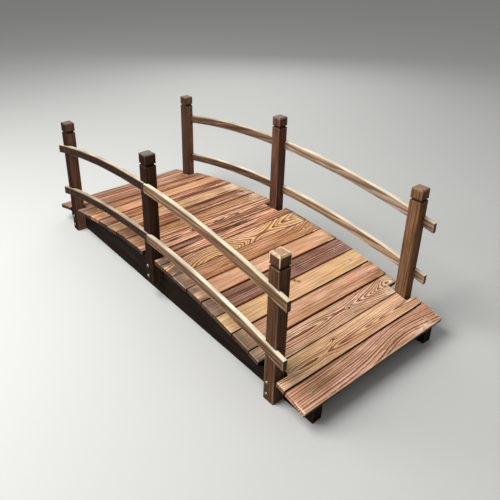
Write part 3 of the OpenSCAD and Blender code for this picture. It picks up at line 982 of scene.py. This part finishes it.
def corner_trees(work):
    """Search trees over points along the outer and the inner corners of a piece."""
    spots = {True: [FAR_AWAY], False: [FAR_AWAY]}
    for edge in work.edges:
        if len(edge.link_faces) == 2 and edge.calc_face_angle() > SHARP:
            start, end = (v.co for v in edge.verts)
            steps = max(1, round((end - start).length / (2 * MM)))
            spots[edge.is_convex] += [start.lerp(end, i / steps) for i in range(steps + 1)]
    return search_tree(spots[True]), search_tree(spots[False])


def unrolled(point, radius, top):
    """A point of an arched piece when the arch is laid out straight."""
    rise = point.z - (top - radius)
    return Vector((radius * math.atan2(point.x, rise), point.y, math.hypot(point.x, rise) - radius))


def rolled(point, radius, top):
    """The reverse of unrolled."""
    turn, reach = point.x / radius, point.z + radius
    return Vector((reach * math.sin(turn), point.y, reach * math.cos(turn) + top - radius))


def cut_by_planes(work, steps):
    """Cuts a mesh across each axis, closely at both ends and by its step between them."""
    corners = np.array([v.co for v in work.verts])
    for axis in sorted(range(3), key=lambda i: corners[:, i].max() - corners[:, i].min()):
        across = Vector([float(axis == i) for i in range(3)])
        for place in soft_lines(corners[:, axis].min(), corners[:, axis].max(), steps[axis])[1:-1]:
            bmesh.ops.bisect_plane(work, geom=work.verts[:] + work.edges[:] + work.faces[:],
                                   dist=0.02 * MM, plane_co=across * place, plane_no=across)


def sliced_copy(node, steps, arc=None):
    """A mesh of a construction piece that is cut up, and the search trees of its corners."""
    work = bmesh.new()
    work.from_mesh(nodes[node].data)
    bmesh.ops.remove_doubles(work, verts=work.verts, dist=0.01 * MM)
    corners = corner_trees(work)
    if arc:
        for vertex in work.verts:
            vertex.co = unrolled(vertex.co, *arc)
    bmesh.ops.dissolve_limit(work, angle_limit=math.radians(0.3), verts=work.verts, edges=work.edges)
    cut_by_planes(work, steps)
    if arc:
        for vertex in work.verts:
            vertex.co = rolled(vertex.co, *arc)
    work.verts.index_update()
    mesh = bpy.data.meshes.new("sliced")
    mesh.from_pydata([v.co[:] for v in work.verts], [], [[v.index for v in f.verts] for f in work.faces])
    work.free()
    return mesh, corners


# %% [markdown]
# ## Weather and painted light on posts, beams and rails
# These wear by the same three rules. Hands rub their corners pale and round, most of all on a
# post's head. The sun bleaches what faces up, and what faces up and open to the sky also gets a
# painted top light. Sides that face the left are painted darker, as shade and damp. Housings and
# kerfs and a strip under the top of a rail get painted shade, and dirt stays on a rail's sawn ends.

# %% Wear, dirt and painted shade of a stick
HEAD_HEIGHT = 46 * MM    # of a post, above its saw kerf
HEAD_RUBS = {"post_left_near": 2.3}    # how hard a head was rubbed, where it isn't like most
# How much painted shade, with damp, darkens the left side of a post. Its corners have worn less too.
DAMP_AND_SHADED_SIDES = {"post_left_middle": 0.95, "post_left_far": 1.0, "post_right_far": 0.8}
# Tops less bleached and less lit towards one end: that end's place and where it stops in mm, what is left.
FADED_TOPS = {"lower_rail_left_near": (0, 500, 0.55), "handrail_right_far": (-870, -430, 0.2),
              "lower_rail_right_far": (-850, -600, 0.3)}
SHADE_UNDER_TOPS = {"handrail_left_near": 0.6, "lower_rail_left_near": 0.4}    # painted shade: dark lines below tops
CORNER_WEAR, DENT_DEPTH = 3 * MM, 0.8 * MM
# How far painted shade reaches out of a housing or kerf, and down from the top of a rail.
NOOK_SHADE, UNDER_TOP_SHADE = 6 * MM, 5 * MM
STICK_WAVES = np.array(waves(111, 7.69))    # wear follows the grain


def bleached_and_lit_tops(node, points, normals, open_top, sky):
    """How far the sky has bleached and lit what faces up: sun bleaching, and painted top light. What isn't
    at the very top is under cover.
    """
    bleached = ramp(normals[:, 2], 0.5, 0.8) * np.where(open_top, sky, 0.25 * sky)
    if node in FADED_TOPS:
        begin, end, left = FADED_TOPS[node]
        bleached *= np.interp(points[:, 0] / MM, (begin, end), (left, 1))
    return bleached


def rail_shade_and_dirt(node, points, normals, arc):
    """Painted shade under the top of a rail on its left side, and dirt on its sawn ends."""
    radius, top = arc
    below = radius - np.hypot(points[:, 0], points[:, 2] - top + radius)
    shade_under_top = fade(below, UNDER_TOP_SHADE, 1.4) * ramp(-normals[:, 1], 1.6 / 3, 2.6 / 3)
    sawn_end = ramp(np.abs(normals[:, 0]), 0.7, 0.95) * (below > 1.5 * MM)
    return np.maximum(SHADE_UNDER_TOPS.get(node, 0) * shade_under_top, 0.55 * sawn_end)


def middle_of(node):
    """The middle of a construction piece's box."""
    return sum(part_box(node), Vector()) / 2


def build_stick(node, steps, axes, arc=None, sky=0.6, rub=0.3):
    """A post, beam or rail as a mesh with dented corners, timber coordinates, its weather and painted
    light.
    """
    mesh, (outer, inner) = sliced_copy(node, steps, arc)
    points = np.array([v.co for v in mesh.vertices])
    normals = np.array([v.normal for v in mesh.vertices])
    timber = (points - np.array(middle_of(node))) @ np.array(axes).T
    patch = np.array([noise.noise(Vector(p * STICK_WAVES)) for p in timber])
    corner = fade(distances(points, outer), CORNER_WEAR)
    dent = corner * np.clip(patch, 0, 1) * DENT_DEPTH
    mesh.vertices.foreach_set("co", (points - normals * dent[:, None]).astype(np.float32).ravel())

    from_top = points[:, 2].max() - points[:, 2]
    open_top = from_top < 6 * MM
    # Housings and kerfs, below the overhang of a post's head, are painted darker as shade.
    shade_and_dirt = 0.95 * fade(distances(points, inner), NOOK_SHADE, 1.6)
    if arc:
        open_top[:] = True
        shade_and_dirt = rail_shade_and_dirt(node, points, normals, arc)
    else:
        dull = 1 - 0.7 * DAMP_AND_SHADED_SIDES.get(node, 0)
        rub = dull * np.where(from_top < HEAD_HEIGHT, HEAD_RUBS.get(node, 0.7), rub)
    rubbed = np.clip(rub * corner * patchy(patch, 0.5, 0.9), 0, 1) * (normals[:, 2] > -0.2)
    # What faces up goes pale: sun bleaching, and painted top light as well.
    bleached = bleached_and_lit_tops(node, points, normals, open_top, sky) * patchy(patch, 0.85, 0.7)
    # The left sides of some posts get painted shade, and damp as well.
    damp_and_shade = DAMP_AND_SHADED_SIDES.get(node, 0) * ramp(-normals[:, 1], 1 / 3, 2 / 3) * patchy(patch, 1, 0.2)

    store(mesh, "timber", timber)
    store(mesh, "wear_and_highlight", np.maximum(rubbed, bleached) * (1 - shade_and_dirt))
    store(mesh, "grime_and_shade", np.maximum.reduce([damp_and_shade, shade_and_dirt, ring_stain(points)]))
    mesh.shade_smooth()
    mesh.set_sharp_from_angle(angle=math.radians(35))
    return mesh


# %% [markdown]
# ## How the sticks were cut
# Grain runs up a post and along a beam. A rail segment is sawn from a straight board, so its
# grain doesn't follow the arc: it runs from one end of the segment to the other.
# The left side is darker than the right one: partly damp, and partly painted shade, as it stands
# in shade. The tops of the rails are bleached nearly white by the sun, with painted top light too.

# %% Looks of the posts, beams and rails
UPRIGHT = ((0, 0, 1), (1, 0, 0), (0, 1, 0))


def lengthwise(slope=0.0):
    """Timber axes of a piece along X that rises by a slope."""
    return ((math.cos(slope), 0, math.sin(slope)), (-math.sin(slope), 0, math.cos(slope)), (0, 1, 0))


# Light wood, ring lines and worn wood of each. The left pieces and the beams are darker partly
# by painted shade, and worn wood is also the colour of painted highlights.
STICK_COLOURS = {
    "post_left_near": ("#60422E", "#321D10", "#FFD6B2"),
    "post_right_near": ("#7F5D3F", "#442B19", "#C4A792"),
    "post_left_middle": ("#4A3428", "#2A1C14", "#9FA398"),
    "post_right_middle": ("#6A483A", "#382016", "#A9A99F"),
    "post_left_far": ("#7A5A48", "#493427", "#6C726A"),
    "post_right_far": ("#86644C", "#523B2B", "#949286"),
    "handrail_left_near": ("#86664C", "#48301F", "#E2D5B8"),
    "handrail_right_near": ("#A88F79", "#5B4636", "#F0E3CB"),
    "handrail_left_far": ("#352116", "#1A0E08", "#C9B8A2"),
    "handrail_right_far": ("#705845", "#3B281C", "#D6C0A8"),
    "lower_rail_left_near": ("#7D5F49", "#432C1E", "#F2E6CC"),
    "lower_rail_right_near": ("#AA8E74", "#5D4533", "#F0E3CB"),
    "lower_rail_left_far": ("#352116", "#1A0E08", "#B59E87"),
    "lower_rail_right_far": ("#68503F", "#362419", "#EBDCC4"),
    "beam_left": ("#271D16", "#110C09", "#8A7A68"),
    "beam_right": ("#271D16", "#110C09", "#8A7A68"),
}

# %% Make the posts, beams and rails
sticks = []
for place, (node, (light, lines, worn)) in enumerate(STICK_COLOURS.items()):
    kind = node.split("_left")[0].split("_right")[0]
    seed = 30.3 + 1.7 * place    # another pattern for each
    if kind == "post":
        gloss = 0.03 if DAMP_AND_SHADED_SIDES.get(node, 0) > 0.9 else 0.1
        stick_look = look(light, lines, (24, 34), 0.015, 8, 14, seed, contrast=0.6, banding=0.5,
                          worn=worn, gloss=gloss)
        mesh = build_stick(node, (5 * MM, 5 * MM, 5 * MM), UPRIGHT, sky=0.35, rub=0.3)
    elif kind == "beam":
        stick_look = look(light, lines, (20, 60), 0.02, 8, 12, seed, banding=0.6, worn=worn,
                          gloss=0.03)
        mesh = build_stick(node, (8 * MM, 7 * MM, 6 * MM), lengthwise(), sky=0.1)
    else:
        low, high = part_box(node)
        falls = -1 if high.x > -low.x else 1    # a near segment falls towards +X
        slope = falls * math.atan2(high.z - low.z - RAIL_DEPTH, high.x - low.x)
        stick_look = look(light, lines, (40, 30), 0.05, 12, 22, seed, contrast=0.8, banding=0.6,
                          worn=worn)
        mesh = build_stick(node, (6 * MM, 4 * MM, 4 * MM), lengthwise(slope), arc=RAIL_ARCS[kind],
                           sky=0.9, rub=0.5)
    sticks.append(finish_timber("torched_" + node, mesh, node, stick_look, STICK_RELIEF))
print("posts, beams and rails:", len(sticks), "with", sum(len(s.data.polygons) for s in sticks), "faces")

# %% [markdown]
# ## Screws and bolts
# All heads of a kind are alike, so each kind is made once, in a Geometry Nodes tree, and set on
# its sites as instances, each turned by chance as a hand would leave it. The sites are the
# points of a small mesh that also holds the direction each head looks in. Realize Instances
# turns them into one plain mesh.
# - A deck or rail screw has a flat head with a cross recess, cut out by a boolean.
# - A nut is a hexagonal prism whose corners are taken off by a cone, over a washer, with the
#   end of the bolt standing out of it.
# - A carriage bolt's head is a low dome.
# The deck screws are brushed stainless steel: light, a little warm, and dull enough to give no
# mirror image. The rest is zinc-plated steel that has weathered: grey, rougher, and brown where
# the zinc has gone. Both are blotched in patches of some 2 mm.

# %% Metals
BLOTCH = 2.38 * MM


def metal_material(name, colour, tarnish, low_rough, high_rough):
    """A metal whose shine and colour change in small patches."""
    material = bpy.data.materials.new(name)
    material.use_nodes = True
    tree = material.node_tree
    tree.nodes.clear()
    where = add(tree, "ShaderNodeTexCoord").outputs["Object"]
    patches = add(tree, "ShaderNodeTexNoise",
                  {"Vector": where, "Scale": round(1 / BLOTCH), "Detail": 3.0})
    rough = add(tree, "ShaderNodeMapRange", {"Value": patches, "From Min": 0.35, "From Max": 0.65,
                                             "To Min": low_rough, "To Max": high_rough})
    spread = add(tree, "ShaderNodeMapRange", {"Value": patches, "From Min": 0.48, "From Max": 0.62})
    tint = add(tree, "ShaderNodeMix", {"Factor": spread, "A": linear(colour), "B": linear(tarnish)},
               data_type="RGBA")
    surface = add(tree, "ShaderNodeBsdfPrincipled",
                  {"Base Color": in_use(tint.outputs, 0), "Roughness": rough, "Metallic": 1.0})
    add(tree, "ShaderNodeOutputMaterial", {"Surface": surface})
    return material


stainless = metal_material("brushed_stainless", "#E6DFD6", "#B9A998", 0.4, 0.6)
zinc = metal_material("weathered_zinc", "#8F8B83", "#5E5145", 0.45, 0.75)
print("metals:", stainless.name, "and", zinc.name)

# %% Shapes of the heads
CHAMFERED = 0.84                      # top of a screw head, as a share of its foot
CROSS = ((1.2, 0.26), (0.26, 1.2))    # length and width of the two bars of the recess
WASHER_EDGE, WASHER_TOP = 1.3, 1.27   # in radii of the nut's corners, as are the next two
NUT_CONE = (0.88, 1.5)                # the cone that takes the corners off: its top and its foot
BOLT_RADIUS, BOLT_TIP = 0.53, 0.82    # and the tip as a share of the bolt
BOLT_REACH = 1.12                     # how far the bolt stands out, in heights of the nut


def sized(tree, shape, radius, height, lift=0.0):
    """A shape times a radius and a height, lifted off the wood."""
    size = add(tree, "ShaderNodeCombineXYZ", {"X": radius, "Y": radius, "Z": height})
    place = add(tree, "ShaderNodeCombineXYZ", {"Z": lift})
    return add(tree, "GeometryNodeTransform",
               {"Geometry": shape, "Translation": place, "Scale": size}).outputs[0]


def screw_head(tree, given):
    """A flat head with a small chamfer and a cross recess."""
    radius = add(tree, "ShaderNodeMath", {0: given["Head Width"], 1: 0.5}, operation="MULTIPLY")
    head = add(tree, "GeometryNodeMeshCone",
               {"Vertices": 20, "Radius Top": CHAMFERED, "Radius Bottom": 1.0, "Depth": 1.0})
    cut = add(tree, "GeometryNodeMeshBoolean", {"Mesh 1": head}, operation="DIFFERENCE")
    for sides in CROSS:
        bar = add(tree, "GeometryNodeMeshCube", {"Size": (*sides, 1)})
        raised = add(tree, "GeometryNodeTransform", {"Geometry": bar, "Translation": (0, 0, 1)})
        tree.links.new(raised.outputs[0], in_use(cut.inputs, "Mesh 2"))
    return sized(tree, cut.outputs["Mesh"], radius, given["Head Height"])


def cut_nut(tree, radius, height):
    """A hexagonal prism whose corners are taken off by a cone, standing on the wood."""
    hexagon = add(tree, "GeometryNodeMeshCylinder",
                  {"Vertices": 6, "Radius": radius, "Depth": height})
    middle = add(tree, "ShaderNodeMath", {0: height, 1: 0.5}, operation="MULTIPLY")
    lift = add(tree, "ShaderNodeCombineXYZ", {"Z": middle})
    prism = add(tree, "GeometryNodeTransform", {"Geometry": hexagon, "Translation": lift})
    top, foot = [add(tree, "ShaderNodeMath", {0: radius, 1: share}, operation="MULTIPLY")
                 for share in NUT_CONE]
    cone = add(tree, "GeometryNodeMeshCone",
               {"Vertices": 28, "Radius Top": top, "Radius Bottom": foot, "Depth": height})
    nut = add(tree, "GeometryNodeMeshBoolean", operation="INTERSECT")
    for shape in (prism, cone):
        tree.links.new(in_use(shape.outputs, 0), in_use(nut.inputs, 0))
    return nut.outputs["Mesh"]


def nut_and_washer(tree, given):
    """A washer, a nut on it, and the end of the bolt."""
    thick, height = given["Washer Thickness"], given["Head Height"]
    radius = add(tree, "ShaderNodeMath", {0: given["Head Width"], 1: 1 / math.sqrt(3)},
                 operation="MULTIPLY")
    washer = add(tree, "GeometryNodeMeshCone", {"Vertices": 28, "Radius Top": WASHER_TOP,
                                                "Radius Bottom": WASHER_EDGE, "Depth": 1.0})
    nut = cut_nut(tree, radius, height)
    bolt = add(tree, "GeometryNodeMeshCone", {"Vertices": 16, "Radius Top": BOLT_RADIUS * BOLT_TIP,
                                              "Radius Bottom": BOLT_RADIUS, "Depth": 1.0})
    reach = add(tree, "ShaderNodeMath", {0: height, 1: BOLT_REACH, 2: thick},
                operation="MULTIPLY_ADD")
    whole = add(tree, "GeometryNodeJoinGeometry")
    for shape in (sized(tree, washer.outputs["Mesh"], radius, thick),
                  sized(tree, nut, 1.0, 1.0, lift=thick),
                  sized(tree, bolt.outputs["Mesh"], radius, reach)):
        tree.links.new(shape, whole.inputs[0])
    return whole.outputs[0]


def domed_head(tree, given):
    """The low dome of a carriage bolt."""
    radius = add(tree, "ShaderNodeMath", {0: given["Head Width"], 1: 0.5}, operation="MULTIPLY")
    ball = add(tree, "GeometryNodeMeshUVSphere", {"Segments": 20, "Rings": 12, "Radius": 1.0})
    return sized(tree, ball.outputs["Mesh"], radius, given["Head Height"])


# %% The fastener trees
def fastener_tree(name, shape, sizes):
    """Sets one shape on every site, facing the way the site says, each turned by chance."""
    tree = bpy.data.node_groups.new(name, "GeometryNodeTree")
    tree.interface.new_socket("Geometry", in_out="INPUT", socket_type="NodeSocketGeometry")
    inputs = [(size, "NodeSocketFloat", value) for size, value in sizes.items()]
    for size, socket, value in [*inputs, ("Seed", "NodeSocketInt", 1)]:
        tree.interface.new_socket(size, in_out="INPUT", socket_type=socket).default_value = value
    tree.interface.new_socket("Material", in_out="INPUT", socket_type="NodeSocketMaterial")
    tree.interface.new_socket("Geometry", in_out="OUTPUT", socket_type="NodeSocketGeometry")
    given = add(tree, "NodeGroupInput").outputs
    facing = add(tree, "GeometryNodeInputNamedAttribute", {"Name": "facing"},
                 data_type="FLOAT_VECTOR")
    aim = add(tree, "FunctionNodeAlignRotationToVector", {"Vector": facing}, axis="Z")
    chance = add(tree, "FunctionNodeRandomValue", {"Max": 2 * math.pi, "Seed": given["Seed"]},
                 data_type="FLOAT")
    spin = add(tree, "FunctionNodeAxisAngleToRotation", {"Angle": chance})
    turned = add(tree, "FunctionNodeRotateRotation", {"Rotation": aim, "Rotate By": spin},
                 rotation_space="LOCAL")
    placed = add(tree, "GeometryNodeInstanceOnPoints",
                 {"Points": given["Geometry"], "Instance": shape(tree, given), "Rotation": turned})
    real = add(tree, "GeometryNodeRealizeInstances", {"Geometry": placed})
    finished = add(tree, "GeometryNodeSetMaterial", {"Geometry": real, "Material": given["Material"]})
    add(tree, "NodeGroupOutput", {"Geometry": finished})
    return tree


def set_fasteners(name, sites, tree, metal):
    """A piece with one head on each site."""
    mesh = bpy.data.meshes.new(name)
    mesh.from_pydata([place for place, _ in sites], [], [])
    store(mesh, "facing", np.array([facing for _, facing in sites]))
    piece = with_nodes(name, mesh, tree, {"Material": metal})
    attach(piece, "root")
    print(name + ":", len(sites), "heads,", len(piece.data.polygons), "faces")


# %% Make the fasteners
DECK_SUNK, RAIL_SUNK = 0.5 * MM, 1.1 * MM    # how far a screw is driven into its wood

flat_screws = fastener_tree("flat_screw", screw_head, {"Head Width": 9.5 * MM, "Head Height": 0.9 * MM})
nuts = fastener_tree("nut_on_washer", nut_and_washer, {
    "Head Width": 10 * MM, "Head Height": 5 * MM, "Washer Thickness": 1.2 * MM})
domes = fastener_tree("carriage_bolt", domed_head, {"Head Width": 16 * MM, "Head Height": 3.8 * MM})
sunk = [(place - DECK_SUNK * facing, facing) for place, facing in deck_sites]
set_fasteners("deck_screws", sunk, flat_screws, stainless)
sunk = [(place - RAIL_SUNK * facing, facing) for place, facing in rail_sites]
set_fasteners("rail_screws", sunk, flat_screws, zinc)
set_fasteners("post_nuts", nut_sites, nuts, zinc)
set_fasteners("beam_bolt_heads", dome_sites, domes, zinc)

# %% [markdown]
# ## Stage, light and camera
# The real bridge stands in the soft light of a dull day. So a large lamp stands for the bright
# part of the sky, a weak one fills the other side, and an even white world does the rest. The
# camera stands where the one that took the picture stood: a little above the near left corner.

# %% Stage
def plain_material(name, colour, roughness):
    """A plain surface for the stage."""
    material = bpy.data.materials.new(name)
    material.use_nodes = True
    surface = material.node_tree.nodes["Principled BSDF"]
    surface.inputs["Base Color"].default_value = linear(colour)
    surface.inputs["Roughness"].default_value = roughness
    return material


FLOOR_REACH = 12
floor_mesh = bpy.data.meshes.new("floor")
floor_corners = [(FLOOR_REACH * x, FLOOR_REACH * y, 0) for x, y in ((-1, -1), (1, -1), (1, 1), (-1, 1))]
floor_mesh.from_pydata(floor_corners, [], [(0, 1, 2, 3)])
floor_mesh.materials.append(plain_material("matt_floor", "#BFBFBC", 0.8))
floor = bpy.data.objects.new("floor", floor_mesh)
bpy.context.collection.objects.link(floor)

SKY_STRENGTH = 0.33
world = bpy.data.worlds.new("overcast")
world.use_nodes = True
sky = world.node_tree.nodes["Background"].inputs
sky["Color"].default_value = (1, 1, 1, 1)
sky["Strength"].default_value = SKY_STRENGTH
bpy.context.scene.world = world


def soft_lamp(name, place, target, size, power):
    """A square lamp that faces a point."""
    lamp = bpy.data.lights.new(name, "AREA")
    lamp.size, lamp.energy = size, power
    made = bpy.data.objects.new(name, lamp)
    made.location = place
    made.rotation_euler = (Vector(target) - Vector(place)).to_track_quat("-Z", "Y").to_euler()
    bpy.context.collection.objects.link(made)


BRIDGE_MIDDLE = (0, 0, 0.2)
soft_lamp("key", (-0.9, -2.3, 3.4), BRIDGE_MIDDLE, 3.0, 262)
soft_lamp("fill", (-2.6, 2.6, 2.2), BRIDGE_MIDDLE, 2.5, 36)
print("lamps:", [lamp.name for lamp in bpy.data.lights], "in a sky of strength", SKY_STRENGTH)

# %% Camera
CAMERA_PLACE = (1.836, -1.438, 1.556)
CAMERA_AZIMUTH, CAMERA_DROP, CAMERA_ROLL = 52.3, 26.35, -0.3    # degrees
CAMERA_LENS, CAMERA_SHIFT = 40, (0.068, -0.111)    # mm, and shares of the picture

camera = bpy.data.objects.new("camera", bpy.data.cameras.new("camera"))
bpy.context.collection.objects.link(camera)
turn = (Matrix.Rotation(math.radians(CAMERA_AZIMUTH), 4, "Z")
        @ Matrix.Rotation(math.radians(90 - CAMERA_DROP), 4, "X")
        @ Matrix.Rotation(math.radians(CAMERA_ROLL), 4, "Z"))
camera.location = CAMERA_PLACE
camera.rotation_euler = turn.to_euler()
camera.data.sensor_width, camera.data.lens = 36, CAMERA_LENS
camera.data.shift_x, camera.data.shift_y = CAMERA_SHIFT
bpy.context.scene.camera = camera
bpy.context.scene.view_settings.view_transform = "Standard"
print("camera:", round(camera.location.length, 2), "m from the middle of the bridge")
